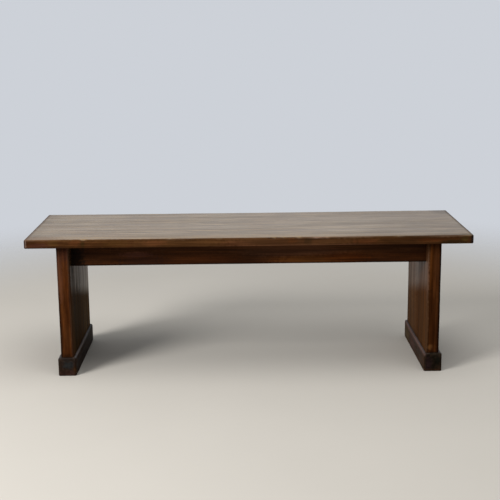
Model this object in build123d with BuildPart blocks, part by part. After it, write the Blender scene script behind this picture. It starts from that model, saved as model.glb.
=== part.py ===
from build123d import *
from math import radians, tan
import os

# A low backless bench: a plank seat on two slab ends that stand on shoe feet, with a rail under
# each long side of the seat. Millimetres. The origin is on the floor under the middle of the seat,
# +X runs along the seat, the front is towards -Y and +Z is up.

# Seat
seat_length = 1200
seat_depth = 380
seat_thickness = 24
seat_height = 388
seat_corner_radius = 5
seat_top_radius = 3.5
seat_bottom_radius = 2
middle_board_width = 120

# Slab ends
end_inset = 79
end_thickness = 36
end_setback = 28
end_arris_radius = 4.5

# Shoe feet
foot_height = 52
foot_proud = 6
foot_outer_proud = 8
foot_corner_radius = 5
foot_ledge_radius = 4
foot_tenon_thickness = 18
foot_tenon_inset = 20
foot_tenon_depth = 25

# Rails
rail_height = 63
rail_thickness = 21
rail_setback = 36
rail_arris_radius = 2
rail_tenon_length = 14
rail_tenon_thickness = 12
rail_tenon_shoulder = 9

# Cleats and middle batten
cleat_size = 24
cleat_end_gap = 3
cleat_chamfer = 4
batten_width = 50

# Glue blocks
block_leg = 20
block_nose = 4
block_length = 60
block_places = (-330, -150, 150, 330)

# Dowels
edge_dowel_radius = 4
edge_dowel_length = 50
edge_dowel_places = (-360, -120, 120, 360)
end_dowel_radius = 5
end_dowel_length = 32
end_dowel_in_seat = 13
end_dowel_places = (-140, 0, 140)
dowel_chamfer = 1
dowel_hole_gap = 1

# Wood screws
screw_radius = 2.1
screw_head_radius = 4.2
screw_length = 38
foot_screw_radius = 2.5
foot_screw_head_radius = 5
foot_screw_length = 44
foot_screw_recess = 2
screw_head_angle = 82
screw_tip = 5
screw_slot_width = 1
screw_slot_depth = 1.1
seat_screw_places = (-80, 0, 80)
cleat_screw_places = (-40, 40)
foot_screw_places = (-90, 0, 90)

# Planes and distances that follow from the sizes above
seat_underside = seat_height - seat_thickness
seat_middle = seat_height - seat_thickness / 2
end_x = seat_length / 2 - end_inset - end_thickness / 2
end_inner_x = end_x - end_thickness / 2
end_depth = seat_depth - 2 * end_setback
rail_y = seat_depth / 2 - end_setback - rail_setback - rail_thickness / 2
rail_inner_y = rail_y - rail_thickness / 2
rail_middle = seat_underside - rail_height / 2
rail_tenon_height = rail_height - 2 * rail_tenon_shoulder
foot_width = end_thickness + foot_proud + foot_outer_proud
foot_x = end_x + (foot_outer_proud - foot_proud) / 2
foot_length = end_depth + 2 * foot_proud
foot_tenon_length = end_depth - 2 * foot_tenon_inset
cleat_length = 2 * (rail_inner_y - cleat_end_gap)
cleat_x = end_inner_x - cleat_size / 2
cleat_bottom = seat_underside - cleat_size
cleat_middle = seat_underside - cleat_size / 2

board_edges = {
    "seat_front_board": (-seat_depth / 2, -middle_board_width / 2),
    "seat_middle_board": (-middle_board_width / 2, middle_board_width / 2),
    "seat_back_board": (middle_board_width / 2, seat_depth / 2),
}
sides = {"left": -1, "right": 1}


def planes_along_x(xs, y, z, z_dir):
    return [Plane(origin=(x, y, z), z_dir=z_dir) for x in xs]


def planes_along_y(x, ys, z, z_dir):
    return [Plane(origin=(x, y, z), z_dir=z_dir) for y in ys]


def save(part, label):
    part.label = label
    export_step(part, f"parts/{label}.step")


# Where the screws and dowels sit. A screw's plane is at its head and faces out of the wood.
seat_screw_heads = []
for x in (-cleat_x, 0, cleat_x):
    seat_screw_heads += planes_along_y(x, seat_screw_places, cleat_bottom, (0, 0, -1))

cleat_screw_heads = {
    side: planes_along_y(
        sign * (end_inner_x - cleat_size), cleat_screw_places, cleat_middle, (-sign, 0, 0)
    )
    for side, sign in sides.items()
}

foot_screw_heads = {
    side: planes_along_y(sign * end_x, foot_screw_places, foot_screw_recess, (0, 0, -1))
    for side, sign in sides.items()
}


def seat_board(low_y, high_y):
    """One board of the seat, with its share of the seat's rounded outline."""
    with BuildPart() as board:
        with BuildSketch(Plane.XY.offset(seat_underside)):
            RectangleRounded(seat_length, seat_depth, seat_corner_radius)
        extrude(amount=seat_thickness)
        fillet(board.faces().sort_by(Axis.Z)[-1].edges(), seat_top_radius)
        fillet(board.faces().sort_by(Axis.Z)[0].edges(), seat_bottom_radius)
        with BuildSketch(Plane.XY.offset(seat_underside)):
            with Locations((0, (low_y + high_y) / 2)):
                Rectangle(seat_length, high_y - low_y)
        extrude(amount=seat_thickness, mode=Mode.INTERSECT)

        # Dowel holes in each edge that is glued to a neighbour
        for edge_y, out in ((low_y, -1), (high_y, 1)):
            if abs(edge_y) < seat_depth / 2:
                with Locations(
                    *planes_along_x(edge_dowel_places, edge_y, seat_middle, (0, out, 0))
                ):
                    Hole(edge_dowel_radius, depth=edge_dowel_length / 2 + dowel_hole_gap)

        # Blind holes in the underside, for the ends' dowels and the seat screws
        for sign in sides.values():
            for y in end_dowel_places:
                if low_y < y < high_y:
                    with Locations(Plane(origin=(sign * end_x, y, seat_underside), z_dir=(0, 0, -1))):
                        Hole(end_dowel_radius, depth=end_dowel_in_seat + dowel_hole_gap)
        for head in seat_screw_heads:
            if low_y < head.origin.Y < high_y:
                with Locations(head):
                    Hole(screw_radius, depth=screw_length)
    return board.part


def end_panel(side):
    """A slab end with a tenon for its foot and mortises for the rails."""
    sign = sides[side]
    with BuildPart() as panel:
        with BuildSketch(Plane.XY.offset(foot_height)):
            with Locations((sign * end_x, 0)):
                RectangleRounded(end_thickness, end_depth, end_arris_radius)
        extrude(amount=seat_underside - foot_height)
        with BuildSketch(Plane.XY.offset(foot_height)):
            with Locations((sign * end_x, 0)):
                Rectangle(foot_tenon_thickness, foot_tenon_length)
        extrude(amount=-foot_tenon_depth)

        # Mortises for the rails' tenons
        with BuildSketch(Plane.YZ.offset(sign * end_inner_x)):
            with Locations((-rail_y, rail_middle), (rail_y, rail_middle)):
                Rectangle(rail_tenon_thickness, rail_tenon_height)
        extrude(amount=sign * rail_tenon_length, mode=Mode.SUBTRACT)

        # Holes for the dowels into the seat and for the screws of the cleat and the foot
        with Locations(*planes_along_y(sign * end_x, end_dowel_places, seat_underside, (0, 0, 1))):
            Hole(end_dowel_radius, depth=end_dowel_length - end_dowel_in_seat + dowel_hole_gap)
        with Locations(*cleat_screw_heads[side]):
            Hole(screw_radius, depth=screw_length)
        with Locations(*foot_screw_heads[side]):
            Hole(foot_screw_radius, depth=foot_screw_length)
    return panel.part


def foot(side):
    """A shoe foot with a mortise for the end's tenon and three countersunk holes beneath."""
    sign = sides[side]
    with BuildPart() as shoe:
        with BuildSketch():
            with Locations((sign * foot_x, 0)):
                RectangleRounded(foot_width, foot_length, foot_corner_radius)
        extrude(amount=foot_height)
        fillet(shoe.faces().sort_by(Axis.Z)[-1].edges(), foot_ledge_radius)
        with BuildSketch(Plane.XY.offset(foot_height)):
            with Locations((sign * end_x, 0)):
                Rectangle(foot_tenon_thickness, foot_tenon_length)
        extrude(amount=-foot_tenon_depth, mode=Mode.SUBTRACT)
        with Locations(*foot_screw_heads[side]):
            CounterSinkHole(
                foot_screw_radius,
                foot_screw_head_radius,
                depth=foot_screw_length,
                counter_sink_angle=screw_head_angle,
            )
    return shoe.part


def rail(y):
    """A rail under the seat with a stub tenon at each end."""
    with BuildPart() as bar:
        with BuildSketch(Plane.YZ):
            with Locations((y, rail_middle)):
                Rectangle(rail_thickness, rail_height)
        extrude(amount=end_inner_x, both=True)
        fillet(bar.edges().filter_by(Axis.X).group_by(Axis.Z)[0], rail_arris_radius)
        with BuildSketch(Plane.YZ):
            with Locations((y, rail_middle)):
                Rectangle(rail_tenon_thickness, rail_tenon_height)
        extrude(amount=end_inner_x + rail_tenon_length, both=True)
    return bar.part


def cross_piece(x, width):
    """A bar across the seat boards, between the rails, with its lower edges chamfered."""
    with BuildPart() as bar:
        with BuildSketch(Plane.XY.offset(cleat_bottom)):
            with Locations((x, 0)):
                Rectangle(width, cleat_length)
        extrude(amount=cleat_size)
        chamfer(bar.edges().filter_by(Axis.X).group_by(Axis.Z)[0], cleat_chamfer)
        for head in seat_screw_heads:
            if abs(head.origin.X - x) < width / 2:
                with Locations(head):
                    CounterSinkHole(
                        screw_radius,
                        screw_head_radius,
                        depth=screw_length,
                        counter_sink_angle=screw_head_angle,
                    )
    return bar.part


def seat_cleat(side):
    """The cross piece that is screwed to an end as well as to the seat."""
    with BuildPart() as cleat:
        add(cross_piece(sides[side] * cleat_x, cleat_size))
        with Locations(*cleat_screw_heads[side]):
            CounterSinkHole(
                screw_radius,
                screw_head_radius,
                depth=screw_length,
                counter_sink_angle=screw_head_angle,
            )
    return cleat.part


def glue_blocks(sign):
    """Four triangular blocks in the corner between a rail's inner face and the seat."""
    corner_y = sign * rail_inner_y
    nose_y = corner_y - sign * block_leg
    with BuildPart() as blocks:
        for x in block_places:
            with BuildSketch(Plane.YZ.offset(x)):
                with BuildLine():
                    Polyline(
                        (corner_y, seat_underside),
                        (nose_y, seat_underside),
                        (nose_y, seat_underside - block_nose),
                        (corner_y - sign * block_nose, seat_underside - block_leg),
                        (corner_y, seat_underside - block_leg),
                        close=True,
                    )
                make_face()
            extrude(amount=block_length / 2, both=True)
    return blocks.part


def dowels(centres, radius, length):
    """Round dowels with chamfered ends, one along the Z axis of each plane."""
    with BuildPart() as pins:
        with Locations(*centres):
            Cylinder(radius, length)
        chamfer(pins.edges().filter_by(GeomType.CIRCLE), dowel_chamfer)
    return pins.part


def wood_screw(radius, head_radius, length):
    """A slotted countersunk wood screw that points down from a head flush with the XY plane."""
    head_depth = (head_radius - radius) / tan(radians(screw_head_angle / 2))
    with BuildPart() as screw:
        with BuildSketch(Plane.XZ):
            with BuildLine():
                Polyline(
                    (0, 0),
                    (head_radius, 0),
                    (radius, -head_depth),
                    (radius, screw_tip - length),
                    (0, -length),
                    close=True,
                )
            make_face()
        revolve(axis=Axis.Z)
        Box(2 * head_radius, screw_slot_width, 2 * screw_slot_depth, mode=Mode.SUBTRACT)
    return screw.part


def screws(heads, radius, head_radius, length):
    """A group of equal screws, one at each head plane."""
    with BuildPart() as group:
        with Locations(*heads):
            add(wood_screw(radius, head_radius, length))
    return group.part


os.makedirs("parts", exist_ok=True)

for name, (low_y, high_y) in board_edges.items():
    save(seat_board(low_y, high_y), name)

for side in sides:
    save(end_panel(side), f"{side}_end_panel")
    save(foot(side), f"{side}_foot")
    save(seat_cleat(side), f"{side}_seat_cleat")

save(rail(-rail_y), "front_rail")
save(rail(rail_y), "back_rail")
save(cross_piece(0, batten_width), "middle_batten")
save(glue_blocks(-1), "front_rail_glue_blocks")
save(glue_blocks(1), "back_rail_glue_blocks")

edge_dowel_centres = []
for seam_y in (-middle_board_width / 2, middle_board_width / 2):
    edge_dowel_centres += planes_along_x(edge_dowel_places, seam_y, seat_middle, (0, 1, 0))
save(dowels(edge_dowel_centres, edge_dowel_radius, edge_dowel_length), "seat_edge_dowels")

end_dowel_z = seat_underside + end_dowel_in_seat - end_dowel_length / 2
end_dowel_centres = []
for sign in sides.values():
    end_dowel_centres += planes_along_y(sign * end_x, end_dowel_places, end_dowel_z, (0, 0, 1))
save(dowels(end_dowel_centres, end_dowel_radius, end_dowel_length), "end_panel_dowels")

save(screws(seat_screw_heads, screw_radius, screw_head_radius, screw_length), "seat_screws")

all_cleat_heads = [head for side in sides for head in cleat_screw_heads[side]]
save(screws(all_cleat_heads, screw_radius, screw_head_radius, screw_length), "cleat_screws")

all_foot_heads = [head for side in sides for head in foot_screw_heads[side]]
save(
    screws(all_foot_heads, foot_screw_radius, foot_screw_head_radius, foot_screw_length),
    "foot_screws",
)
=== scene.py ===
# Backless plank bench: worn seat boards on slab ends, shoe feet and two rails.
# Metres, +X along the seat, front towards -Y, +Z up, floor at z = 0.
from math import cos, pi, radians, sin, sqrt

import bmesh
import bpy
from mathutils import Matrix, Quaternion, Vector, noise


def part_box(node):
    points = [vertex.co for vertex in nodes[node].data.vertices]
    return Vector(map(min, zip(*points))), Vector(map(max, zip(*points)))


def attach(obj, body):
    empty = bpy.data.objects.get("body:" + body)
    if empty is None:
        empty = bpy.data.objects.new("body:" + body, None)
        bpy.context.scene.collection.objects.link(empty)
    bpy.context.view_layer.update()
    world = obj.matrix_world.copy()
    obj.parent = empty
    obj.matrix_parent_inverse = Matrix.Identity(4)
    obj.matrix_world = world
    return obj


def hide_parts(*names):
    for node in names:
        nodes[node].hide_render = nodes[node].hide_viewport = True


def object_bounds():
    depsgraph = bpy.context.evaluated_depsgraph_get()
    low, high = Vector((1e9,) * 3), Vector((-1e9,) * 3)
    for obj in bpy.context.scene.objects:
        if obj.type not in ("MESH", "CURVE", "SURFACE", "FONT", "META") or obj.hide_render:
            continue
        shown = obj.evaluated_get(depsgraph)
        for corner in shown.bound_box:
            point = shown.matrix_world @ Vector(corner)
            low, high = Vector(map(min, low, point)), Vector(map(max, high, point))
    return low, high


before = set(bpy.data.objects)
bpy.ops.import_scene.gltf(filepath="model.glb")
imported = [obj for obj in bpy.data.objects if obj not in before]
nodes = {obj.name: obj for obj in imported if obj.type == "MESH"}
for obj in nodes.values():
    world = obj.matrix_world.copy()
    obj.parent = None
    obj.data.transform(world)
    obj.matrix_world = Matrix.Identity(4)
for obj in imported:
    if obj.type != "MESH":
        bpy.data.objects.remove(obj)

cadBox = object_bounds()
mm = 0.001
scene = bpy.context.scene
print("frame loaded:", len(nodes), "nodes")


# Small helpers for shader trees

def addNode(tree, kind, inputs=None, **settings):
    made = tree.nodes.new("ShaderNode" + kind)
    for key, value in settings.items():
        setattr(made, key, value)
    for key, value in (inputs or {}).items():
        plug(tree, made.inputs[key], value)
    return made


def plug(tree, socket, value):
    # a socket is linked, anything else is set on the input itself; colours come without their alpha
    if isinstance(value, bpy.types.NodeSocket):
        tree.links.new(value, socket)
    elif socket.type == "RGBA":
        socket.default_value = (*value, 1)
    else:
        socket.default_value = value


def doMath(tree, operation, a, b=0.0):
    return addNode(tree, "Math", {0: a, 1: b}, operation=operation).outputs[0]


def plus(tree, a, b):
    return doMath(tree, "ADD", a, b)


def times(tree, a, b):
    return doMath(tree, "MULTIPLY", a, b)


def doVector(tree, operation, a, b):
    return addNode(tree, "VectorMath", {0: a, 1: b}, operation=operation).outputs[0]


def scaled(tree, vector, factor):
    return addNode(tree, "VectorMath", {0: vector, "Scale": factor}, operation="SCALE").outputs[0]


def lengthOf(tree, vector):
    return addNode(tree, "VectorMath", {0: vector}, operation="LENGTH").outputs[1]


def spread(tree, value, low, high, outLow=0.0, outHigh=1.0, smooth=True):
    made = addNode(tree, "MapRange", {
        "Value": value, "From Min": low, "From Max": high, "To Min": outLow, "To Max": outHigh})
    if smooth:
        made.interpolation_type = "SMOOTHSTEP"
    return made.outputs[0]


def between(tree, value, low, high):
    # stretches a value of 0 to 1 to run from low to high
    return spread(tree, value, 0.0, 1.0, low, high, smooth=False)


def blendColour(tree, factor, a, b):
    made = addNode(tree, "Mix", data_type="RGBA")
    plug(tree, made.inputs[0], factor)
    plug(tree, made.inputs[6], a)
    plug(tree, made.inputs[7], b)
    return made.outputs[2]


def cloud(tree, vector, scale, detail=3.0, roughness=0.5):
    return addNode(tree, "TexNoise", {
        "Vector": vector, "Scale": scale, "Detail": detail, "Roughness": roughness}).outputs[0]


def newGroup(name, inputs, outputs):
    # inputs: name -> default, three numbers for a vector; each output is a mask from 0 to 1
    group = bpy.data.node_groups.new(name, "ShaderNodeTree")
    for label, default in inputs.items():
        kind = "NodeSocketVector" if isinstance(default, tuple) else "NodeSocketFloat"
        made = group.interface.new_socket(label, in_out="INPUT", socket_type=kind)
        made.default_value = default
    for label in outputs:
        group.interface.new_socket(label, in_out="OUTPUT", socket_type="NodeSocketFloat")
    return group, group.nodes.new("NodeGroupInput").outputs, group.nodes.new("NodeGroupOutput").inputs


def useGroup(tree, group, inputs):
    made = tree.nodes.new("ShaderNodeGroup")
    made.node_tree = group
    for key, value in inputs.items():
        plug(tree, made.inputs[key], value)
    return made.outputs


# Effects that several finishes share

def makeGrain():
    # solid timber with its grain along the vector's X: growth lines about a far pith,
    # broad bands, streaks, fine fibre and open pores
    group, given, out = newGroup("timberGrain", {
        "Vector": (0, 0, 0), "Offset": (0, 0, 0), "Pith": (0, 0.03, -0.09), "Ring Width": 0.004,
        "Wander": 0.006}, ("Rings", "Drift", "Bands", "Streaks", "Flecks", "Fibre", "Pores"))
    place = doVector(group, "ADD", given["Vector"], given["Offset"])
    slow = doVector(group, "MULTIPLY", place, (1.1, 7.0, 7.0))
    bend = addNode(group, "TexNoise", {"Vector": slow, "Scale": 1.0, "Detail": 2.0}).outputs[1]
    bend = doVector(group, "SUBTRACT", bend, (0.5, 0.5, 0.5))
    bent = doVector(group, "ADD", place, scaled(group, bend, given["Wander"]))
    fromPith = doVector(group, "SUBTRACT", bent, given["Pith"])
    flat = doVector(group, "MULTIPLY", fromPith, (0.0, 1.0, 1.0))
    count = doMath(group, "DIVIDE", lengthOf(group, flat), given["Ring Width"])
    uneven = cloud(group, doVector(group, "MULTIPLY", place, (0.8, 20.0, 20.0)), 1.0, 2.0)
    phase = doMath(group, "FRACT", plus(group, count, times(group, uneven, 1.6)))
    rings = times(group, spread(group, phase, 0.1, 0.86), spread(group, phase, 0.9, 1.0, 1.0, 0.0))
    group.links.new(rings, out["Rings"])
    # waves to a metre along, across and through the grain, and where the mask starts and is full
    for label, scales, low, high in (
            ("Drift", (7.0, 15.0, 15.0), 0.38, 0.62),
            ("Bands", (2.4, 36.0, 36.0), 0.36, 0.64),
            ("Streaks", (4.0, 120.0, 120.0), 0.36, 0.64),
            ("Flecks", (16.0, 105.0, 105.0), 0.4, 0.6),
            ("Fibre", (12.0, 560.0, 560.0), 0.34, 0.66),
            ("Pores", (60.0, 1300.0, 1300.0), 0.62, 0.72)):
        spun = cloud(group, doVector(group, "MULTIPLY", bent, scales), 1.0, 3.0, 0.55)
        group.links.new(spread(group, spun, low, high), out[label])
    return group


def makeWear():
    # rubbed arrises, broken up by noise, from the mesh's own "arris" values
    group, given, out = newGroup("arrisWear", {
        "Vector": (0, 0, 0), "Amount": 0.3, "Grit": 160.0}, ("Worn", "Arris"))
    arris = addNode(group, "Attribute", attribute_name="arris").outputs["Fac"]
    broken = cloud(group, given["Vector"], given["Grit"], 4.0, 0.6)
    slow = cloud(group, given["Vector"], 14.0, 2.0)
    level = plus(group, times(group, broken, 0.5), times(group, slow, 0.7))
    reach = times(group, arris, given["Amount"])
    total = plus(group, reach, doMath(group, "SUBTRACT", level, 0.6))
    group.links.new(spread(group, total, 0.32, 0.62), out["Worn"])
    group.links.new(arris, out["Arris"])
    return group


def makeMarks():
    # scuffs, fine scratches and small dark spots
    group, given, out = newGroup("usedMarks", {
        "Vector": (0, 0, 0), "Scale": 1.0}, ("Scratches", "Spots", "Scuffs"))
    place = scaled(group, given["Vector"], given["Scale"])
    drift = addNode(group, "TexNoise", {"Vector": place, "Scale": 9.0}).outputs[1]
    warped = doVector(group, "ADD", place, doVector(group, "MULTIPLY", drift, (0.03, 0.03, 0.03)))
    drawn = doVector(group, "MULTIPLY", warped, (9.0, 46.0, 46.0))
    cells = addNode(group, "TexVoronoi", {"Vector": drawn, "Scale": 1.0}, feature="DISTANCE_TO_EDGE")
    thin = spread(group, cells.outputs[0], 0.0, 0.018, 1.0, 0.0)
    sparse = spread(group, cloud(group, place, 21.0), 0.54, 0.66)
    group.links.new(times(group, thin, sparse), out["Scratches"])
    dots = addNode(group, "TexVoronoi", {"Vector": place, "Scale": 42.0})
    small = spread(group, dots.outputs[0], 0.05, 0.11, 1.0, 0.0)
    few = spread(group, cloud(group, place, 12.0, 2.0), 0.56, 0.62)
    group.links.new(times(group, small, few), out["Spots"])
    rubbed = cloud(group, doVector(group, "MULTIPLY", place, (7.0, 19.0, 19.0)), 1.0, 5.0, 0.62)
    group.links.new(spread(group, rubbed, 0.52, 0.7), out["Scuffs"])
    return group


def makePatch():
    # one ragged patch about a centre, as strong as its amount inside and 0 outside
    group, given, out = newGroup("raggedPatch", {
        "Vector": (0, 0, 0), "Centre": (0, 0, 0), "Reach": (0.1, 0.1, 0.1),
        "Ragged": 1.6, "Grit": 120.0, "Amount": 1.0}, ("Mask",))
    away = doVector(group, "SUBTRACT", given["Vector"], given["Centre"])
    share = lengthOf(group, doVector(group, "DIVIDE", away, given["Reach"]))
    rag = doMath(group, "SUBTRACT", cloud(group, given["Vector"], given["Grit"], 4.0, 0.6), 0.5)
    share = plus(group, share, times(group, rag, given["Ragged"]))
    mask = spread(group, share, 0.35, 1.0, 1.0, 0.0)
    group.links.new(times(group, mask, given["Amount"]), out["Mask"])
    return group


grain = makeGrain()
arrisWear = makeWear()
usedMarks = makeMarks()
raggedPatch = makePatch()
print("shader groups built")


# Finishes

def startFinish(name):
    material = bpy.data.materials.new(name)
    material.use_nodes = True
    tree = material.node_tree
    tree.nodes.clear()
    shader = addNode(tree, "BsdfPrincipled")
    output = addNode(tree, "OutputMaterial")
    tree.links.new(shader.outputs[0], output.inputs[0])
    return material, tree, shader.inputs


turns = {"X": (0, 0, 0), "Y": (0, 0, -pi / 2), "Z": (0, pi / 2, 0)}     # brings the grain to X


def timberColour(tree, timber, look):
    colour = blendColour(tree, timber["Bands"], look["dark"], look["mid"])
    for part, name in (("Drift", "drift"), ("Streaks", "streak"), ("Fibre", "fibre"),
                       ("Rings", "ring"), ("Flecks", "fleck"), ("Pores", "pore")):
        share = times(tree, timber[part], look[name + "Amount"])
        colour = blendColour(tree, share, colour, look[name + "Colour"])
    return colour


def facingMask(tree, axis, low, high):
    # 1 where the surface faces an axis of the piece, 0 where it is turned away
    normal = addNode(tree, "TexCoord").outputs["Normal"]
    towards = addNode(tree, "VectorMath", {0: normal, 1: axis}, operation="DOT_PRODUCT").outputs[1]
    return spread(tree, towards, low, high)


# how every timber surface shows its grain
figure = dict(
    # how far each part of the grain stands up, as a share of the rise in metres
    streakRelief=0.35, relief=(("Fibre", 0.3), ("Pores", -0.9), ("Rings", -0.2)), scratchRelief=-1.2,
    rise=0.0004,
    # how much a mark lightens or darkens with the grain beneath it
    streaksThrough=(0.68, 1.36), bandsThrough=(0.8, 1.2),
    wornRough=0.12,                 # a rubbed arris is this much rougher
    fray=0.4)                       # how unevenly the sitting face's greying ends at its arrises


def topMask(tree, timber):
    # the sitting face, with a frayed outline along its arrises
    fibre, streaks = (times(tree, timber[part], figure["fray"]) for part in ("Fibre", "Streaks"))
    frayed = doMath(tree, "SUBTRACT", plus(tree, fibre, streaks), figure["fray"])
    return spread(tree, plus(tree, facingMask(tree, (0, 0, 1), 0.2, 1.0), frayed), 0.35, 0.85)


def coatWeight(tree, place, timber, coat, sheen):
    # old varnish still shines on the faces that are rubbed, unevenly along the grain
    weight = facingMask(tree, coat["axis"], coat["from"], coat["to"])
    if "fade" in coat:
        # painted reflection border: the shine on an end's inner face stops below a height that rises towards
        # the front; the outer face has less of it
        parts = addNode(tree, "SeparateXYZ", {0: place}).outputs
        level = plus(tree, parts[2], times(tree, parts[1], coat["slope"]))
        weight = times(tree, weight, spread(tree, level, *coat["fade"]))
        outer = facingMask(tree, tuple(-part for part in coat["axis"]), coat["from"], coat["to"])
        weight = plus(tree, weight, times(tree, outer, coat["outside"]))
    weight = times(tree, weight, sheen)
    weight = times(tree, weight, between(tree, timber["Bands"], *coat["weight"]))
    return times(tree, weight, between(tree, timber["Streaks"], coat["streaks"], 1.0))


def timberFinish(name, look):
    # look: the colours and amounts of one piece's finish
    material, tree, shader = startFinish(name)
    place = addNode(tree, "TexCoord").outputs["Object"]
    turned = addNode(tree, "Mapping", {"Vector": place, "Rotation": turns[look["along"]]}).outputs[0]
    timber = useGroup(tree, grain, {
        "Vector": turned, "Offset": look["offset"], "Pith": look["pith"],
        "Ring Width": look["ringWidth"], "Wander": look["wander"]})
    used = useGroup(tree, usedMarks, {"Vector": turned, "Scale": look["markScale"]})
    wear = useGroup(tree, arrisWear, {"Vector": place, "Amount": look["arrisAmount"], "Grit": look["grit"]})

    colour = timberColour(tree, timber, look)
    if "top" in look:
        colour = blendColour(tree, topMask(tree, timber), colour, timberColour(tree, timber, look["top"]))
    scuff = times(tree, used["Scuffs"], look["scuffAmount"])
    spot = times(tree, used["Spots"], look["spotAmount"])
    edge = times(tree, wear["Arris"], look["arrisDark"])
    worn = times(tree, wear["Worn"], look["wornAmount"])
    for share, tone in ((scuff, "scuffColour"), (spot, "poreColour"),
                        (edge, "arrisColour"), (worn, "wornColour")):
        colour = blendColour(tree, share, colour, look[tone])
    sheen = doMath(tree, "SUBTRACT", 1.0, times(tree, edge, look["arrisDull"]))
    through = times(tree, between(tree, timber["Streaks"], *figure["streaksThrough"]),
                    between(tree, timber["Bands"], *figure["bandsThrough"]))
    for one in look["marks"]:
        mask = useGroup(tree, raggedPatch, {
            "Vector": place, "Centre": one["at"], "Reach": one["reach"],
            "Ragged": one["ragged"], "Grit": one["grit"], "Amount": one["amount"]})["Mask"]
        colour = blendColour(tree, mask, colour, scaled(tree, one["colour"], through))
        if one["dull"]:
            less = times(tree, mask, one["dull"])
            sheen = times(tree, sheen, doMath(tree, "SUBTRACT", 1.0, less))

    height = times(tree, timber["Streaks"], figure["streakRelief"])
    for part, rise in figure["relief"]:
        height = plus(tree, height, times(tree, timber[part], rise))
    height = plus(tree, height, times(tree, used["Scratches"], figure["scratchRelief"]))
    bump = addNode(tree, "Bump", {"Height": height, "Strength": look["bump"], "Distance": figure["rise"]})
    rough = between(tree, timber["Streaks"], *look["rough"])
    rough = plus(tree, rough, times(tree, worn, figure["wornRough"]))
    plug(tree, shader["Base Color"], colour)
    plug(tree, shader["Roughness"], rough)
    plug(tree, shader["Normal"], bump.outputs[0])
    shader["Specular IOR Level"].default_value = look["specular"]
    if "coat" in look:
        plug(tree, shader["Coat Weight"], coatWeight(tree, place, timber, look["coat"], sheen))
        shader["Coat Roughness"].default_value = look["coat"]["rough"]
    return material


# the old varnish on most pieces; the others change what differs
varnish = dict(
    along="Z", offset=(0.0, 0.0, 0.0), ringWidth=0.0042, wander=0.014,
    dark=(0.03, 0.0082, 0.0022), mid=(0.066, 0.0185, 0.0044),
    driftColour=(0.098, 0.0255, 0.0055), driftAmount=0.5,
    streakColour=(0.185, 0.06, 0.015), streakAmount=0.6,
    fleckColour=(0.022, 0.0068, 0.002), fleckAmount=0.4,
    fibreColour=(0.03, 0.0085, 0.0024), fibreAmount=0.3,
    ringColour=(0.02, 0.0058, 0.0018), ringAmount=0.4,
    poreColour=(0.009, 0.0032, 0.0014), poreAmount=0.6,
    scuffColour=(0.12, 0.045, 0.016), scuffAmount=0.14, spotAmount=0.5, markScale=1.0,
    arrisColour=(0.014, 0.005, 0.0022), arrisDark=0.8, arrisDull=0.8, grit=160.0,
    wornColour=(0.2, 0.09, 0.036), wornAmount=0.25, arrisAmount=0.3, marks=(),
    rough=(0.5, 0.64), bump=0.45, specular=0.02)


def mark(at, reach, colour, amount, ragged=1.6, dull=0.0, grit=120.0):
    # a stain or a rubbed place; dull is the share of the shine that it takes away
    return dict(at=at, reach=reach, colour=colour, amount=amount, ragged=ragged, dull=dull, grit=grit)


def placed(marks, corner):
    # marks are written from a corner of their piece
    return [dict(one, at=Vector(corner) + Vector(one["at"])) for one in marks]


print("finishes described")


# Timber with rounded, worn arrises. Each piece is one closed skin, swept along its grain.

axisOrder = {"X": (0, 1, 2), "Y": (1, 0, 2), "Z": (2, 1, 0)}     # along, across, through

# how worn timber departs from a true block, the same for every piece
skin = dict(
    sideWaves=9.0, radiusWaves=14.0, rubs=55.0,      # waves to a metre, of its sides and its arrises
    rubbedMore=0.5,                 # the most that a rub adds to an arris, as a share of its radius
    leastRadius=0.0002, endLip=0.0007, leastEnd=0.002)


def roundInset(distance, radius):
    # how far a side has drawn in this near to the piece's end
    if distance >= radius:
        return 0.0
    return radius - sqrt(max(0.0, radius * radius - (radius - distance) ** 2))


def wavy(seed, *place):
    return noise.noise(Vector(place) + Vector((seed * 7.31, seed * 3.17, seed * 1.73)))


def stationsAlong(length, step, endFine):
    # close together at the ends, where the corners round over
    near = [endFine * f for f in (0.0, 0.04, 0.12, 0.25, 0.42, 0.62, 0.82, 1.0)]
    count = max(2, round((length - 2 * endFine) / step))
    middle = [endFine + (length - 2 * endFine) * k / count for k in range(1, count)]
    return near + middle + [length - d for d in reversed(near)]


def sectionRing(low, high, radii, cuts, arcSteps):
    # points around a rounded rectangle as (across, through, nearest corner, how much it is arris)
    (a0, b0), (a1, b1) = low, high
    corners = [((a0, b0), (1, 1), pi), ((a1, b0), (-1, 1), 1.5 * pi),
               ((a1, b1), (-1, -1), 0.0), ((a0, b1), (1, -1), 0.5 * pi)]
    lift, fade = 0.0005, 0.004          # how far a flat side's first points stand from its arris
    beside = 0.6                        # how much the nearest of them still count as arris
    ring = []
    for k, ((ca, cb), (sa, sb), start) in enumerate(corners):
        r = radii[k]
        centre = (ca + sa * r, cb + sb * r)
        for j in range(arcSteps + 1):
            angle = start + 0.5 * pi * j / arcSteps
            ring.append((centre[0] + r * cos(angle), centre[1] + r * sin(angle), k, 1.0))
        # the flat side after this corner, with a close first and last point to keep it flat
        nextCorner, _, _ = corners[(k + 1) % 4]
        r2 = radii[(k + 1) % 4]
        here = ring[-1][:2]
        axis = k % 2
        end = list(nextCorner)
        end[axis] -= r2 if nextCorner[axis] > here[axis] else -r2
        length = abs(end[axis] - here[axis])
        direction = 1 if end[axis] > here[axis] else -1
        count = cuts[k % 2]
        inside = [fade + (length - 2 * fade) * c / count for c in range(count + 1)]
        for d in [lift] + inside + [length - lift]:
            point = list(here)
            point[axis] += direction * d
            nearer = k if d < length / 2 else (k + 1) % 4
            ring.append((point[0], point[1], nearer, beside if d in (lift, length - lift) else 0.0))
    return ring


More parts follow.
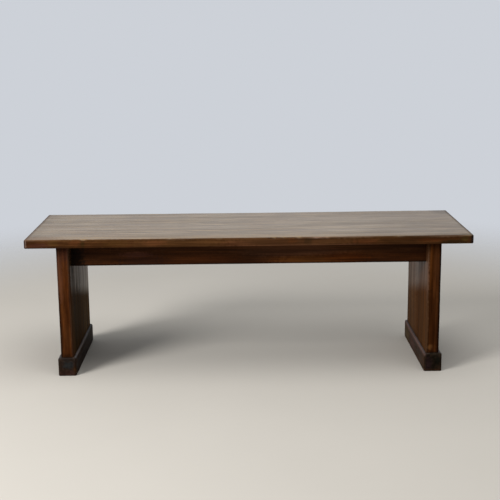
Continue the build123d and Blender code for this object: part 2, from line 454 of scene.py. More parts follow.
def sweptTimber(name, shape, finish):
    # shape: what the functions below fill in; sizes in metres
    along, across, through = axisOrder[shape["along"]]
    low, high = shape["low"], shape["high"]
    length = high[along] - low[along]
    endRadii = shape["endRadii"]              # across low, across high, through low, through high
    endReach = max(endRadii)
    seed = shape["seed"]
    mesh = bmesh.new()
    arris = mesh.verts.layers.float.new("arris")
    rings = []
    for d in stationsAlong(length, shape["step"], max(endReach, skin["leastEnd"])):
        s = low[along] + d
        fromEnd = min(d, length - d)
        inset = [roundInset(fromEnd, radius) for radius in endRadii]
        drawn = [depth * (0.5 + 0.5 * wavy(seed + k, s * skin["sideWaves"], k * 5.1, 0.0))
                 for k, depth in enumerate(shape["wavers"])]
        lowSide = (low[across] + inset[0] + drawn[0], low[through] + inset[2] + drawn[2])
        highSide = (high[across] - inset[1] - drawn[1], high[through] - inset[3] - drawn[3])
        radii = []
        for k, radius in enumerate(shape["radii"]):
            grown = radius * (1 + shape["rubbed"] * wavy(seed + 20 + k, s * skin["radiusWaves"], 0.0, 3.3))
            rub = max(0.0, wavy(seed + 40 + k, s * skin["rubs"], 1.7, 0.0))
            grown += radius * skin["rubbedMore"] * rub
            radii.append(max(skin["leastRadius"], min(grown, radius * 2)))
        ring = []
        for a, b, corner, share in sectionRing(lowSide, highSide, radii, shape["cuts"], shape["arcSteps"]):
            point = Vector((0, 0, 0))
            point[along], point[across], point[through] = s, a, b
            vert = mesh.verts.new(point)
            vert[arris] = shape["arris"][corner] * share
            if fromEnd < endReach:
                vert[arris] = max(vert[arris], shape["endArris"] * sqrt(1 - fromEnd / endReach))
            ring.append(vert)
        rings.append(ring)
    joinRings(mesh, rings)
    for ring in (rings[0], rings[-1]):
        mesh.faces.new(endLip(mesh, ring, along))
    for vert in mesh.verts:
        if "reshape" in shape:
            shape["reshape"](vert)
        for dent in shape.get("dents", ()):
            pressDent(vert, dent)
    bmesh.ops.recalc_face_normals(mesh, faces=mesh.faces)
    piece = newPiece(name, mesh)
    piece.data.shade_smooth()
    piece.data.materials.append(finish)
    return piece


def joinRings(mesh, rings):
    for first, second in zip(rings, rings[1:]):
        for k in range(len(first)):
            j = (k + 1) % len(first)
            mesh.faces.new((first[k], first[j], second[j], second[k]))


def endLip(mesh, ring, along):
    # a narrow ring inside the arris, which keeps the flat end flat
    arris = mesh.verts.layers.float["arris"]
    middle = sum((vert.co for vert in ring), Vector()) / len(ring)
    inner = []
    for vert in ring:
        inward = middle - vert.co
        inward[along] = 0
        made = mesh.verts.new(vert.co + inward.normalized() * skin["endLip"])
        made[arris] = vert[arris] * 0.5
        inner.append(made)
    joinRings(mesh, (ring, inner))
    return inner


def pressDent(vert, dent):
    offset = vert.co - Vector(dent["at"])
    share = sum((offset[k] / dent["reach"][k]) ** 2 for k in range(3))
    if share < 1:
        vert.co += Vector(dent["push"]) * (1 - share) ** 2


def newPiece(name, mesh):
    data = bpy.data.meshes.new(name)
    mesh.to_mesh(data)
    mesh.free()
    piece = bpy.data.objects.new(name, data)
    scene.collection.objects.link(piece)
    return piece


# Seat boards

frontTop = (cadBox[0][1], cadBox[1][2])     # the front upper arris: y and z


def arrisBlot(x, halfLength, amount):
    # a dark knock where the finish has soaked into the upper arris
    return mark((x, 0.0, 0.0), (halfLength, 0.0065, 0.006), (0.02, 0.0075, 0.0028), amount,
                ragged=1.0, dull=0.9, grit=200.0)


seat = dict(
    topRadius=0.0035, underRadius=0.002, seamRadius=0.00015, cornerRadius=0.005, seamCorner=0.0003,
    waver=0.0005, dish=0.001, ripple=0.0004,     # how unevenly it is sawn, and how far use has hollowed it
    # knocks in the front upper arris: where along it, half the length, and the depth
    nicks=((0.066, 0.014, 0.0042), (0.092, 0.009, 0.0034), (0.134, 0.013, 0.004), (0.178, 0.018, 0.003),
           (0.208, 0.01, 0.0026), (-0.212, 0.02, 0.002), (-0.442, 0.014, 0.0024), (0.402, 0.024, 0.0024),
           (-0.08, 0.014, 0.0018), (0.52, 0.02, 0.0022)),
    look=dict(
        varnish, along="X", ringWidth=0.0055, wander=0.012, arrisDark=0.3, arrisDull=0.3,
        dark=(0.032, 0.0115, 0.003), mid=(0.052, 0.019, 0.0048), streakColour=(0.115, 0.047, 0.014),
        driftColour=(0.066, 0.0205, 0.005), driftAmount=0.35,
        fleckColour=(0.022, 0.0082, 0.0026), fleckAmount=0.45,
        # the sitting face is worn dry and greyed
        top=dict(
            dark=(0.208, 0.129, 0.058), mid=(0.274, 0.176, 0.084),
            driftColour=(0.268, 0.2, 0.112), driftAmount=0.6,
            streakColour=(0.44, 0.306, 0.162), streakAmount=0.6,
            fibreColour=(0.12, 0.084, 0.048), fibreAmount=0.3,
            ringColour=(0.11, 0.073, 0.042), ringAmount=0.5,
            poreColour=(0.05, 0.032, 0.018), poreAmount=0.5,
            fleckColour=(0.105, 0.07, 0.036), fleckAmount=0.44),
        coat={"axis": (0, 0, 1), "from": 0.6, "to": 0.95,
              "weight": (0.8, 1.0), "streaks": 0.85, "rough": 0.27}),
    # marks are placed from the front upper arris, at mid-length
    marks=(
        # a tan strip along the front of the sitting face, the dark upper arris, and a lighter stretch of the
        # lower arris
        mark((0.0, 0.004, 0.0005), (3.0, 0.06, 0.0045), (0.27, 0.168, 0.074), 0.45, ragged=1.2, dull=0.3),
        mark((0.0, -0.001, -0.0005), (3.0, 0.009, 0.008), (0.07, 0.029, 0.0092), 0.85, ragged=0.9, dull=0.9),
        mark((0.16, -0.001, -0.0235), (0.3, 0.01, 0.006), (0.12, 0.05, 0.026), 0.5, ragged=1.0),
        # the ends of the seat and the sitting face beside them, darkened by hands
        mark((-0.606, 0.19, -0.0065), (0.021, 3.0, 0.017), (0.036, 0.012, 0.006), 0.95, ragged=0.35, dull=1),
        mark((0.606, 0.19, -0.0045), (0.019, 3.0, 0.017), (0.03, 0.011, 0.006), 0.95, ragged=0.3, dull=1),
        mark((-0.6, 0.19, 0.0), (0.05, 3.0, 0.006), (0.08, 0.06, 0.044), 0.25, ragged=0.8, dull=0.4),
        mark((-0.57, 0.01, 0.0), (0.1, 0.05, 0.005), (0.09, 0.048, 0.027), 0.5, ragged=0.8, dull=0.5),
        mark((0.55, 0.02, 0.0), (0.13, 0.05, 0.005), (0.09, 0.066, 0.045), 0.32, ragged=0.8, dull=0.4),
        # the front edge, from its left end to its right end
        mark((-0.601, 0.0, -0.012), (0.005, 0.01, 0.05), (0.02, 0.01, 0.007), 0.9, ragged=0.3),
        # a painted highlight down the rounded front-left corner
        mark((-0.5945, 0.0, -0.012), (0.0022, 0.01, 0.018), (0.2, 0.14, 0.1), 0.6, ragged=0.9),
        mark((-0.555, 0.0, -0.024), (0.085, 0.01, 0.0062), (0.018, 0.0095, 0.007), 0.75, ragged=0.7),
        mark((-0.56, 0.0, -0.016), (0.045, 0.012, 0.009), (0.058, 0.02, 0.013), 0.5),
        mark((-0.5225, 0.0, -0.01), (0.02, 0.01, 0.012), (0.06, 0.03, 0.007), 0.4),
        mark((-0.464, 0.0, -0.009), (0.02, 0.01, 0.012), (0.095, 0.03, 0.009), 0.4),
        mark((-0.4425, 0.0, -0.014), (0.009, 0.01, 0.014), (0.024, 0.014, 0.0035), 0.6),
        mark((-0.355, 0.0, -0.012), (0.05, 0.01, 0.014), (0.044, 0.02, 0.0045), 0.45),
        mark((-0.19, 0.0, -0.014), (0.18, 0.01, 0.02), (0.082, 0.036, 0.012), 0.45, ragged=0.9),
        mark((-0.251, 0.0, -0.012), (0.042, 0.01, 0.012), (0.105, 0.036, 0.013), 0.4),
        mark((-0.033, 0.0, -0.016), (0.055, 0.01, 0.009), (0.078, 0.025, 0.011), 0.45),
        mark((0.09, 0.0, -0.013), (0.22, 0.01, 0.02), (0.094, 0.04, 0.016), 0.5, ragged=0.9),
        mark((0.1135, 0.0, -0.01), (0.018, 0.01, 0.01), (0.11, 0.034, 0.009), 0.45),
        mark((0.1565, 0.0, -0.012), (0.016, 0.01, 0.014), (0.03, 0.016, 0.006), 0.5),
        mark((0.187, 0.0, -0.0025), (0.03, 0.01, 0.003), (0.24, 0.135, 0.1), 0.6, ragged=0.9),
        mark((0.31, 0.0, -0.014), (0.04, 0.01, 0.01), (0.082, 0.024, 0.008), 0.4),
        mark((0.41, 0.0, -0.018), (0.06, 0.01, 0.012), (0.028, 0.012, 0.004), 0.4),
        mark((0.487, 0.0, -0.012), (0.05, 0.01, 0.006), (0.072, 0.0185, 0.0042), 0.5),
        mark((0.554, 0.0, -0.019), (0.055, 0.01, 0.009), (0.015, 0.0085, 0.0028), 0.8),
        mark((0.577, 0.0, -0.009), (0.012, 0.01, 0.012), (0.05, 0.03, 0.007), 0.6, ragged=1.6),
        # the back right corner
        mark((0.583, 0.37, 0.0), (0.052, 0.075, 0.006), (0.09, 0.07, 0.058), 0.6, ragged=1.1, dull=0.4),
        # the front right corner
        mark((0.5985, 0.0, -0.012), (0.009, 0.012, 0.05), (0.012, 0.007, 0.005), 0.95, ragged=0.3),
        mark((0.58, 0.006, 0.0), (0.026, 0.02, 0.004), (0.17, 0.125, 0.07), 0.6, ragged=0.9, dull=0.6),
        # the sitting face is greyer to the right and a little paler at mid-right
        mark((0.54, 0.2, 0.0), (0.4, 0.46, 0.008), (0.04, 0.026, 0.012), 0.2, ragged=0.5, dull=0.4),
        mark((0.25, 0.2, 0.0), (0.26, 0.13, 0.008), (0.66, 0.56, 0.42), 0.09, ragged=0.7),
        # a dark stain on the front edge, then the upper arris where the varnish has gone
        mark((0.215, 0.0, -0.016), (0.045, 0.01, 0.014), (0.04, 0.017, 0.006), 0.5),
        mark((0.22, 0.0, -0.001), (0.15, 0.009, 0.006), (0.19, 0.11, 0.064), 0.6, ragged=1.0),
        mark((0.52, 0.0, -0.001), (0.09, 0.009, 0.006), (0.12, 0.064, 0.036), 0.55, ragged=1.2),
        mark((-0.19, 0.0, -0.001), (0.06, 0.009, 0.006), (0.13, 0.07, 0.036), 0.5, ragged=1.2),
        arrisBlot(0.066, 0.024, 0.9), arrisBlot(0.092, 0.01, 0.7), arrisBlot(0.136, 0.013, 0.4),
        arrisBlot(0.41, 0.02, 0.4), arrisBlot(-0.212, 0.016, 0.25)))

# each board: a seed for its wear, and which part of a log its grain comes from
boards = (
    dict(node="seat_front_board", name="seat_worn_front_board", finish="seatTimber1", seed=11,
         offset=(0.0, 0.0, 0.0), pith=(0.0, 0.02, -0.15)),
    dict(node="seat_middle_board", name="seat_worn_middle_board", finish="seatTimber2", seed=20,
         offset=(0.37, 0.11, 0.05), pith=(0.0, -0.03, -0.13)),
    dict(node="seat_back_board", name="seat_worn_back_board", finish="seatTimber3", seed=29,
         offset=(0.74, 0.22, 0.1), pith=(0.0, -0.08, -0.11)))


def hollowTop(vert):
    # long use has hollowed the sitting face
    x, y, z = vert.co
    height = (z - (frontTop[1] - seat["topRadius"])) / seat["topRadius"]
    if height > 0:
        hollow = seat["dish"] * (1 - (x / cadBox[1][0]) ** 2)
        ripple = seat["ripple"] * (0.5 + 0.5 * wavy(3, x * 11.0, y * 26.0, 0.0))
        vert.co.z -= height * (hollow + ripple)


def nick(x, halfLength, depth):
    # pressed in at 45 degrees
    return dict(at=(x, *frontTop), reach=(halfLength, 0.007, 0.006), push=(0, depth * 0.7, -depth * 0.7))


def makeBoard(board):
    node = board["node"]
    low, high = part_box(node)
    # only the outer boards have a free side, at the front or at the back
    front = low.y < cadBox[0][1] + 1 * mm
    back = high.y > cadBox[1][1] - 1 * mm
    under, top, seam = seat["underRadius"], seat["topRadius"], seat["seamRadius"]
    corner, seamCorner, waver = seat["cornerRadius"], seat["seamCorner"], seat["waver"]
    shape = dict(
        along="X", low=low, high=high, step=0.004, cuts=(14, 3), arcSteps=5, seed=board["seed"],
        radii=(under if front else seam, under if back else seam,
               top if back else seam, top if front else seam),
        endRadii=(corner if front else seamCorner, corner if back else seamCorner, under, top),
        arris=(0.8 * front, 0.8 * back, 1.0 * back, 1.0 * front), endArris=0.8, rubbed=0.35,
        wavers=(waver * front, waver * back, waver, 0.0),
        reshape=hollowTop, dents=[nick(*row) for row in seat["nicks"]] if front else ())
    look = dict(seat["look"], offset=board["offset"], pith=board["pith"],
                marks=placed(seat["marks"], (0.0, *frontTop)))
    piece = sweptTimber(board["name"], shape, timberFinish(board["finish"], look))
    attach(piece, "root")
    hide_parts(node)
    return piece


seatBoards = [makeBoard(board) for board in boards]
print("seat boards:", len(seatBoards))


# Slab ends

slab = dict(
    arrisRadius=0.0045, jointRadius=0.0003, waver=0.0005,
    look=dict(varnish, specular=0.003),
    # fade: the heights where the shine sets in, a painted reflection border; slope: how much higher that is
    # towards the front
    coat={"from": 0.5, "to": 0.95, "streaks": 0.5, "rough": 0.3, "fade": (0.18, 0.222), "slope": 0.26,
          "outside": 0.4},
    # marks are placed from the foot of an end's front face, at mid-width; both ends have this painted shade
    paintedShade=(
        # painted shadow of the seat along the top of each end
        mark((0, 0.162, 0.364), (0.06, 0.3, 0.026), (0.018, 0.008, 0.005), 0.5, dull=0.5),
        # painted shade where each end meets its foot
        mark((0, 0.162, 0.052), (0.06, 0.3, 0.016), (0.008, 0.0035, 0.002), 0.6, dull=0.5)))

# shine: how much varnish is left, in the dark bands of the grain and in the light ones
leftEnd = dict(
    node="left_end_panel", name="left_end_worn", finish="endTimber1", seed=51,
    inward=(1, 0, 0), shine=(0.45, 1.0), offset=(0.0, 0.4, 0.0), pith=(0.0, 0.03, -0.13),
    marks=(
        # the front face and its outer arris
        # painted shade, darker towards the bottom of the front face
        mark((0.0, 0.0, 0.03), (0.06, 0.03, 0.26), (0.02, 0.006, 0.0018), 0.35, ragged=0.5),
        # painted shadow of the seat across the top of the front face
        mark((0.0, 0.0, 0.36), (0.05, 0.03, 0.06), (0.036, 0.014, 0.0105), 0.55, ragged=0.8),
        mark((-0.02, -0.002, 0.2), (0.012, 0.012, 0.5), (0.016, 0.006, 0.003), 0.8, ragged=0.6),
        # the inner face
        mark((0.02, 0.162, 0.1), (0.01, 0.3, 0.26), (0.029, 0.015, 0.0048), 0.75, ragged=0.5),
        mark((0.02, 0.28, 0.12), (0.01, 0.16, 0.3), (0.085, 0.046, 0.017), 0.7, ragged=0.7),
        mark((0.018, 0.025, 0.29), (0.01, 0.06, 0.1), (0.012, 0.006, 0.0035), 0.7, ragged=1.0, dull=0.4),
        mark((0.02, 0.065, 0.25), (0.01, 0.145, 0.6), (0.029, 0.015, 0.0052), 0.75, ragged=0.8, dull=0.78),
        mark((0.02, 0.04, 0.289), (0.01, 0.013, 0.012), (0.007, 0.004, 0.0025), 0.8, ragged=1.2, dull=0.7),
        mark((0.02, 0.098, 0.228), (0.01, 0.011, 0.022), (0.01, 0.006, 0.0035), 0.8, ragged=1.2, dull=0.6),
        # streaks down the front face and its inner arris
        mark((-0.01, 0.0, 0.28), (0.011, 0.012, 0.09), (0.13, 0.052, 0.028), 0.36, ragged=1.2),
        mark((0.016, 0.002, 0.2), (0.006, 0.012, 0.4), (0.06, 0.027, 0.015), 0.4, ragged=0.9),
        mark((0.004, 0.0, 0.11), (0.01, 0.012, 0.05), (0.085, 0.03, 0.009), 0.35, ragged=1.2)))

rightEnd = dict(
    node="right_end_panel", name="right_end_worn", finish="endTimber2", seed=71,
    inward=(-1, 0, 0), shine=(0.38, 0.7), offset=(0.21, 0.53, 0.3), pith=(0.0, -0.01, 0.37),
    marks=(
        # the front face and its outer arris, and the inner face
        mark((0.0, -0.002, 0.0), (0.06, 0.022, 0.8), (0.014, 0.0042, 0.0012), 0.36, ragged=0.4),
        mark((0.02, -0.002, 0.2), (0.012, 0.012, 0.5), (0.012, 0.005, 0.003), 0.8, ragged=0.6),
        mark((-0.02, 0.162, 0.08), (0.01, 0.3, 0.26), (0.056, 0.025, 0.0092), 0.5, ragged=0.5),
        mark((0.0, 0.0, 0.13), (0.06, 0.03, 0.11), (0.018, 0.005, 0.0014), 0.35, ragged=0.8),
        mark((-0.02, 0.162, 0.3), (0.01, 0.3, 0.13), (0.11, 0.05, 0.026), 0.45, ragged=0.9),
        mark((-0.02, 0.29, 0.12), (0.01, 0.16, 0.3), (0.092, 0.047, 0.022), 0.6, ragged=0.7),
        mark((-0.02, 0.3, 0.27), (0.01, 0.18, 0.2), (0.24, 0.115, 0.052), 0.6, ragged=0.7),
        mark((-0.02, 0.05, 0.25), (0.01, 0.15, 0.6), (0.054, 0.024, 0.0088), 0.5, ragged=0.8, dull=0.35),
        # streaks down the front face, then a painted highlight down its rounded inner arris
        mark((-0.009, 0.0, 0.29), (0.009, 0.012, 0.09), (0.1, 0.03, 0.005), 0.33, ragged=1.2),
        mark((0.006, 0.0, 0.3), (0.011, 0.012, 0.07), (0.03, 0.011, 0.0045), 0.45, ragged=1.2),
        mark((0.009, 0.0, 0.1), (0.01, 0.012, 0.055), (0.016, 0.0055, 0.002), 0.5, ragged=1.2),
        mark((-0.006, 0.0, 0.068), (0.01, 0.012, 0.01), (0.13, 0.056, 0.018), 0.45),
        # painted highlight on the rounded inner arris
        mark((-0.017, 0.004, 0.12), (0.006, 0.012, 0.12), (0.115, 0.054, 0.025), 0.6, ragged=0.9),
        mark((-0.0175, 0.006, 0.262), (0.005, 0.012, 0.09), (0.18, 0.1, 0.066), 0.42, ragged=0.9)))


def makeEnd(end):
    node = end["node"]
    low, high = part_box(node)
    low.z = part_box("left_foot")[1].z            # what is below this stands inside the foot
    shape = dict(
        along="Z", low=low, high=high, step=0.004, cuts=(26, 4), arcSteps=5, seed=end["seed"],
        radii=(slab["arrisRadius"],) * 4, endRadii=(slab["jointRadius"],) * 4,
        arris=(1.0,) * 4, endArris=0.0, wavers=(slab["waver"],) * 4, rubbed=0.3)
    corner = ((low.x + high.x) / 2, low.y, 0.0)
    look = dict(slab["look"], offset=end["offset"], pith=end["pith"],
                coat=dict(slab["coat"], weight=end["shine"], axis=end["inward"]),
                marks=placed(slab["paintedShade"] + end["marks"], corner))
    panel = sweptTimber(end["name"], shape, timberFinish(end["finish"], look))
    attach(panel, "root")
    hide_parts(node)
    return panel


endPanels = [makeEnd(end) for end in (leftEnd, rightEnd)]
print("slab ends:", len(endPanels))


# Shoe feet

shoe = dict(
    ledgeRadius=0.005, baseRadius=0.002, cornerRadius=0.0055, waver=0.0005,
    # the countersunk screw holes beneath: where they are, their radii, and the depth of recess and cone
    hole=dict(places=(-0.09, 0.0, 0.09), head=0.0053, shank=0.0028, recess=0.002, cone=0.003, sides=32),
    look=dict(
        varnish, along="Y", pith=(0.0, 0.07, -0.05), ringWidth=0.0045, wander=0.012, markScale=1.6,
        dark=(0.008, 0.0046, 0.003), mid=(0.017, 0.009, 0.0056),
        driftColour=(0.026, 0.012, 0.0065), streakColour=(0.042, 0.021, 0.012),
        fibreColour=(0.01, 0.006, 0.004), fleckColour=(0.006, 0.0036, 0.0024),
        ringColour=(0.007, 0.0043, 0.003), scuffColour=(0.05, 0.041, 0.035), scuffAmount=0.3,
        arrisColour=(0.02, 0.014, 0.011), arrisDark=0.4, arrisDull=0.0,
        wornColour=(0.11, 0.074, 0.052), wornAmount=0.6, rough=(0.46, 0.6),
        coat={"axis": (0, 0, 1), "from": 0.15, "to": 0.95,
              "weight": (0.2, 0.45), "streaks": 0.8, "rough": 0.3}))

# marks are placed from the foot of a shoe's front face, at mid-width
leftFoot = dict(
    node="left_foot", name="left_foot_worn", finish="footTimber1", seed=91, under="left_end_panel",
    look=dict(shoe["look"], offset=(0.0, 0.2, 0.0)),
    marks=(
        mark((0.003, 0.0, 0.032), (0.021, 0.012, 0.018), (0.015, 0.0165, 0.017), 0.8),
        # painted highlight along the ledge's rounded upper edge, which also takes away some of its shine
        mark((0.021, 0.13, 0.052), (0.009, 0.16, 0.006), (0.1, 0.066, 0.05), 0.8, ragged=1.0, dull=0.4),
        mark((0.0, 0.0, 0.004), (0.036, 0.012, 0.017), (0.03, 0.013, 0.01), 0.7),
        mark((0.023, 0.0, 0.018), (0.008, 0.02, 0.018), (0.04, 0.015, 0.0035), 0.6)))

rightFoot = dict(
    node="right_foot", name="right_foot_worn", finish="footTimber2", seed=111, under="right_end_panel",
    # worn to a browner tone than the left one
    look=dict(shoe["look"], offset=(0.5, 0.2, 0.1), dark=(0.02, 0.009, 0.0042), mid=(0.038, 0.0165, 0.0075),
              driftColour=(0.05, 0.0205, 0.0088), streakColour=(0.08, 0.037, 0.017)),
    marks=(
        mark((0.0, 0.0, 0.026), (0.04, 0.01, 0.04), (0.006, 0.0045, 0.0025), 0.85, ragged=0.8),
        mark((-0.012, 0.0, 0.022), (0.012, 0.01, 0.03), (0.016, 0.008, 0.008), 0.8, ragged=1.2),
        mark((0.014, 0.0, 0.03), (0.012, 0.01, 0.014), (0.003, 0.003, 0.002), 0.8, ragged=1.2),
        mark((0.0, 0.0, 0.002), (0.04, 0.01, 0.007), (0.026, 0.0115, 0.005), 0.7, ragged=1.0),
        # painted highlight along the ledge's rounded upper edge, which also takes away some of its shine
        mark((-0.025, 0.168, 0.05), (0.009, 0.3, 0.013), (0.084, 0.048, 0.04), 0.8, ragged=0.8, dull=0.55),
        mark((0.004, 0.0, 0.052), (0.026, 0.012, 0.008), (0.016, 0.011, 0.007), 0.9, ragged=0.5, dull=1),
        mark((-0.025, 0.29, 0.02), (0.006, 0.06, 0.03), (0.06, 0.036, 0.011), 0.6),
        mark((-0.025, 0.19, 0.02), (0.006, 0.06, 0.03), (0.06, 0.026, 0.022), 0.5)))


def sinkScrews(foot, x):
    # cuts the countersunk holes beneath, so that the screws' heads show
    hole = shoe["hole"]
    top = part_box("foot_screws")[1].z + 0.5 * mm
    profile = ((hole["head"], -hole["recess"]), (hole["head"], hole["recess"]),
               (hole["shank"], hole["recess"] + hole["cone"]), (hole["shank"], top))
    turn = [2 * pi * k / hole["sides"] for k in range(hole["sides"])]
    cutter = bmesh.new()
    for y in hole["places"]:
        rings = [[cutter.verts.new((x + radius * cos(a), y + radius * sin(a), z)) for a in turn]
                 for radius, z in profile]
        joinRings(cutter, rings)
        cutter.faces.new(rings[0])
        cutter.faces.new(rings[-1])
    bmesh.ops.recalc_face_normals(cutter, faces=cutter.faces)
    tool = newPiece("screwHoles", cutter)
    cut = foot.modifiers.new("screwHoles", "BOOLEAN")
    cut.operation = "DIFFERENCE"
    cut.solver = "EXACT"
    cut.object = tool
    graph = bpy.context.evaluated_depsgraph_get()
    foot.data = bpy.data.meshes.new_from_object(foot.evaluated_get(graph))
    foot.modifiers.clear()
    foot.data.set_sharp_from_angle(angle=radians(50))
    bpy.data.objects.remove(tool)


def makeFoot(side):
    node = side["node"]
    low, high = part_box(node)
    base, ledge, corner = shoe["baseRadius"], shoe["ledgeRadius"], shoe["cornerRadius"]
    shape = dict(
        along="Y", low=low, high=high, step=0.003, cuts=(8, 8), arcSteps=5, seed=side["seed"],
        radii=(base, base, ledge, ledge), endRadii=(corner, corner, base, ledge),
        arris=(0.7, 0.7, 1.0, 1.0), endArris=0.8, rubbed=0.3,
        wavers=(shoe["waver"], shoe["waver"], 0.0, 0.0))
    look = dict(side["look"], marks=placed(side["marks"], ((low.x + high.x) / 2, low.y, 0.0)))
    foot = sweptTimber(side["name"], shape, timberFinish(side["finish"], look))
    endLow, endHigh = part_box(side["under"])
    sinkScrews(foot, (endLow.x + endHigh.x) / 2)
    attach(foot, "root")
    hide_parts(node)
    return foot


feet = [makeFoot(side) for side in (leftFoot, rightFoot)]
print("feet:", len(feet))


# Rails

rails = dict(
    topRadius=0.0006, lowRadius=0.002, endRadius=0.0002, waver=0.0003,
    intoEnd=0.001,                  # how far the worn piece reaches into each slab end
    look=dict(
        varnish, along="X", pith=(0.0, -0.05, 0.1), ringWidth=0.0035, wander=0.012,
        dark=(0.018, 0.0054, 0.0018), mid=(0.034, 0.0096, 0.0028),
        driftColour=(0.052, 0.0145, 0.0038), streakColour=(0.09, 0.028, 0.007)),
    # marks are placed from the lower outer arris, at mid-length
    marks=(
        # painted shadow of the left slab end across the rail's left end
        mark((-0.485, 0.0, 0.029), (0.05, 0.03, 0.07), (0.0045, 0.0035, 0.002), 0.9),
        mark((-0.4, 0.0, 0.039), (0.26, 0.03, 0.06), (0.011, 0.0055, 0.0032), 0.38),
        mark((-0.31, 0.0, 0.03), (0.06, 0.01, 0.01), (0.075, 0.027, 0.019), 0.4),
        mark((-0.29, 0.0, 0.012), (0.1, 0.01, 0.02), (0.024, 0.0085, 0.005), 0.6),
        mark((-0.14, 0.0, 0.008), (0.11, 0.01, 0.02), (0.085, 0.022, 0.005), 0.2),
        mark((0.02, 0.0, 0.022), (0.07, 0.01, 0.026), (0.02, 0.0075, 0.003), 0.6),
        mark((0.165, 0.0, 0.01), (0.13, 0.01, 0.018), (0.088, 0.03, 0.006), 0.45),
        mark((0.265, 0.0, 0.014), (0.085, 0.01, 0.018), (0.076, 0.0165, 0.0022), 0.45),
        mark((0.11, 0.0, 0.036), (0.2, 0.01, 0.02), (0.085, 0.038, 0.022), 0.35, ragged=0.9),
        mark((0.43, 0.0, 0.042), (0.1, 0.01, 0.03), (0.014, 0.005, 0.002), 0.5),
        # painted light along the upper part, which lifts the seat's shadow there
        mark((0.14, 0.0, 0.05), (0.62, 0.03, 0.034), (0.07, 0.027, 0.011), 0.35, ragged=0.9),
        mark((0.0, 0.0, 0.0), (3.0, 0.006, 0.0045), (0.01, 0.0045, 0.0025), 0.8)))

frontRail = dict(node="front_rail", name="front_rail_worn", finish="railTimber1", seed=131,
                 offset=(0.0, 0.35, 0.0))
backRail = dict(node="back_rail", name="back_rail_worn", finish="railTimber2", seed=151,
                offset=(0.6, 0.35, 0.2))


def makeRail(rail):
    node = rail["node"]
    low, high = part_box(node)
    high.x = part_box("right_end_panel")[0].x + rails["intoEnd"]
    low.x = -high.x
    under, top, waver = rails["lowRadius"], rails["topRadius"], rails["waver"]
    shape = dict(
        along="X", low=low, high=high, step=0.005, cuts=(3, 8), arcSteps=4, seed=rail["seed"],
        radii=(under, under, top, top), endRadii=(rails["endRadius"],) * 4,
        arris=(0.9, 0.9, 0.0, 0.0), endArris=0.0, rubbed=0.3, wavers=(waver, waver, waver, 0.0))
    outer = max(low.y, high.y, key=abs)         # the face that looks away from the middle
    look = dict(rails["look"], offset=rail["offset"], marks=placed(rails["marks"], (0.0, outer, low.z)))
    piece = sweptTimber(rail["name"], shape, timberFinish(rail["finish"], look))
    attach(piece, "root")
    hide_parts(node)
    return piece


railPieces = [makeRail(rail) for rail in (frontRail, backRail)]
print("rails:", len(railPieces))


# Pieces kept as they come from the frame, with their own finishes

bareWood = dict(
    varnish, along="Y", pith=(0.0, 0.03, -0.04), ringWidth=0.003, wander=0.01,
    dark=(0.15, 0.088, 0.046), mid=(0.21, 0.13, 0.072), streakColour=(0.28, 0.19, 0.11),
    driftColour=(0.24, 0.15, 0.085), driftAmount=0.3, fibreColour=(0.13, 0.078, 0.042),
    fleckColour=(0.14, 0.082, 0.044), ringColour=(0.12, 0.066, 0.033), poreColour=(0.07, 0.04, 0.02),
    scuffColour=(0.24, 0.19, 0.14), wornAmount=0.0, arrisDark=0.0, rough=(0.62, 0.78), bump=0.6, specular=0.3)

# softened: how far the sawn edges are eased
hidden = dict(
    innerTimber=dict(bareWood, softened=0.0004,
                     nodes=("left_seat_cleat", "right_seat_cleat", "middle_batten")),
    blockTimber=dict(bareWood, softened=0.0008, along="X", offset=(0.3, 0.2, 0.6),
                     nodes=("front_rail_glue_blocks", "back_rail_glue_blocks")),
    dowelTimber=dict(bareWood, dark=(0.4, 0.28, 0.16), mid=(0.48, 0.35, 0.22),
                     streakColour=(0.56, 0.43, 0.29), nodes=("seat_edge_dowels", "end_panel_dowels")))

screws = dict(nodes=("seat_screws", "cleat_screws", "foot_screws"),
              steel=(0.28, 0.26, 0.24), rust=(0.12, 0.05, 0.022), rustScale=320.0, rustMetal=0.15,
              rough=(0.38, 0.8), grainScale=1800.0, bump=0.3, rise=0.0002)


def softenEdges(piece, width):
    weld = piece.modifiers.new("joined", "WELD")
    weld.merge_threshold = 0.01 * mm
    bevel = piece.modifiers.new("softened", "BEVEL")
    bevel.width = width
    bevel.segments = 2
    bevel.limit_method = "ANGLE"
    bevel.angle_limit = radians(35)


def steelFinish(name, look):
    material, tree, shader = startFinish(name)
    place = addNode(tree, "TexCoord").outputs["Object"]
    rust = spread(tree, cloud(tree, place, look["rustScale"], 5.0, 0.65), 0.48, 0.62)
    plug(tree, shader["Base Color"], blendColour(tree, rust, look["steel"], look["rust"]))
    plug(tree, shader["Metallic"], spread(tree, rust, 0.0, 1.0, 1.0, look["rustMetal"]))
    plug(tree, shader["Roughness"], spread(tree, rust, 0.0, 1.0, *look["rough"]))
    fine = cloud(tree, place, look["grainScale"])
    bump = addNode(tree, "Bump", {"Height": fine, "Strength": look["bump"], "Distance": look["rise"]})
    plug(tree, shader["Normal"], bump.outputs[0])
    return material


def dress(names, finish):
    for node in names:
        nodes[node].data.materials.clear()
        nodes[node].data.materials.append(finish)


for name, look in hidden.items():
    dress(look["nodes"], timberFinish(name, look))
    if "softened" in look:
        for node in look["nodes"]:
            softenEdges(nodes[node], look["softened"])
dress(screws["nodes"], steelFinish("screwSteel", screws))
print("hidden pieces dressed")


# Floor, light and camera

studio = dict(
    background=(0.61, 0.638, 0.687), ambient=(0.93, 0.97, 1.0), ambientStrength=0.38,
    floorColour=(0.6, 0.56, 0.5), floorShade=(0.564, 0.5264, 0.47), floorClouds=2.5,
    floorRough=0.75, floorSpecular=0.2, floorRadius=7.0, fadeFrom=1.0, fadeTo=2.4,
    keyPlace=(-2.5, -2.2, 1.9), keySize=1.5, keyPower=120.0,
    fillPlace=(0.6, -0.6, 3.4), fillSize=2.6, fillPower=40.0)


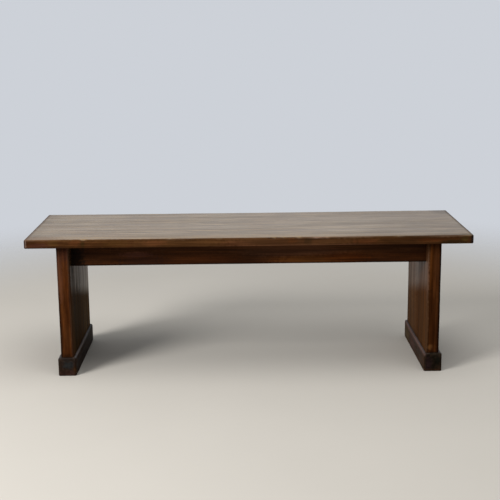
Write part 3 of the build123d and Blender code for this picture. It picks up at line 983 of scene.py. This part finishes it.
def makeFloor():
    mesh = bmesh.new()
    bmesh.ops.create_circle(mesh, cap_ends=True, segments=96, radius=studio["floorRadius"])
    floor = newPiece("plainFloor", mesh)
    material, tree, shader = startFinish("paleFloor")
    place = addNode(tree, "TexCoord").outputs["Object"]
    soft = cloud(tree, place, studio["floorClouds"])
    plug(tree, shader["Base Color"], blendColour(tree, soft, studio["floorColour"], studio["floorShade"]))
    shader["Roughness"].default_value = studio["floorRough"]
    shader["Specular IOR Level"].default_value = studio["floorSpecular"]
    # far from the bench the floor fades into the plain background
    fade = spread(tree, lengthOf(tree, place), studio["fadeFrom"], studio["fadeTo"])
    clear = addNode(tree, "BsdfTransparent").outputs[0]
    mixed = addNode(tree, "MixShader", {0: fade, 1: shader["Base Color"].node.outputs[0], 2: clear})
    output = next(n for n in tree.nodes if n.type == "OUTPUT_MATERIAL")
    tree.links.new(mixed.outputs[0], output.inputs[0])
    floor.data.materials.append(material)


def makeWorld():
    world = bpy.data.worlds.new("studio")
    scene.world = world
    world.use_nodes = True
    tree = world.node_tree
    tree.nodes.clear()
    path = addNode(tree, "LightPath").outputs
    seen = doMath(tree, "MAXIMUM", path["Is Camera Ray"], path["Is Glossy Ray"])
    seen = doMath(tree, "MAXIMUM", seen, path["Is Transmission Ray"])
    light = addNode(tree, "Background", {"Color": studio["ambient"], "Strength": studio["ambientStrength"]})
    shown = addNode(tree, "Background", {"Color": studio["background"], "Strength": 1.0})
    mixed = addNode(tree, "MixShader", {0: seen, 1: light.outputs[0], 2: shown.outputs[0]})
    output = addNode(tree, "OutputWorld")
    tree.links.new(mixed.outputs[0], output.inputs[0])


def makeLamp(name, place, size, power, aim=(0, 0, 0.2)):
    data = bpy.data.lights.new(name, "AREA")
    data.shape = "DISK"
    data.size = size
    data.energy = power
    lamp = bpy.data.objects.new(name, data)
    lamp.location = place
    lamp.rotation_euler = (Vector(aim) - Vector(place)).to_track_quat("-Z", "Y").to_euler()
    scene.collection.objects.link(lamp)


view = dict(place=(-0.02369, -2.86143, 0.93654), lens=73.804,      # metres, mm on a 36 mm sensor
            down=12.299, turn=0.551, lean=0.585)                  # degrees


def makeCamera():
    data = bpy.data.cameras.new("camera")
    data.lens = view["lens"]
    data.sensor_width = 36.0
    camera = bpy.data.objects.new("camera", data)
    camera.location = view["place"]
    down, turn = radians(view["down"]), radians(view["turn"])
    forward = Vector((sin(turn) * cos(down), cos(turn) * cos(down), -sin(down)))
    aim = forward.to_track_quat("-Z", "Y")
    camera.rotation_mode = "QUATERNION"
    camera.rotation_quaternion = aim @ Quaternion((0, 0, 1), radians(-view["lean"]))
    scene.collection.objects.link(camera)
    scene.camera = camera


makeFloor()
makeWorld()
makeLamp("keyLamp", studio["keyPlace"], studio["keySize"], studio["keyPower"])
makeLamp("fillLamp", studio["fillPlace"], studio["fillSize"], studio["fillPower"])
makeCamera()
scene.view_settings.view_transform = "Standard"
print("studio set")
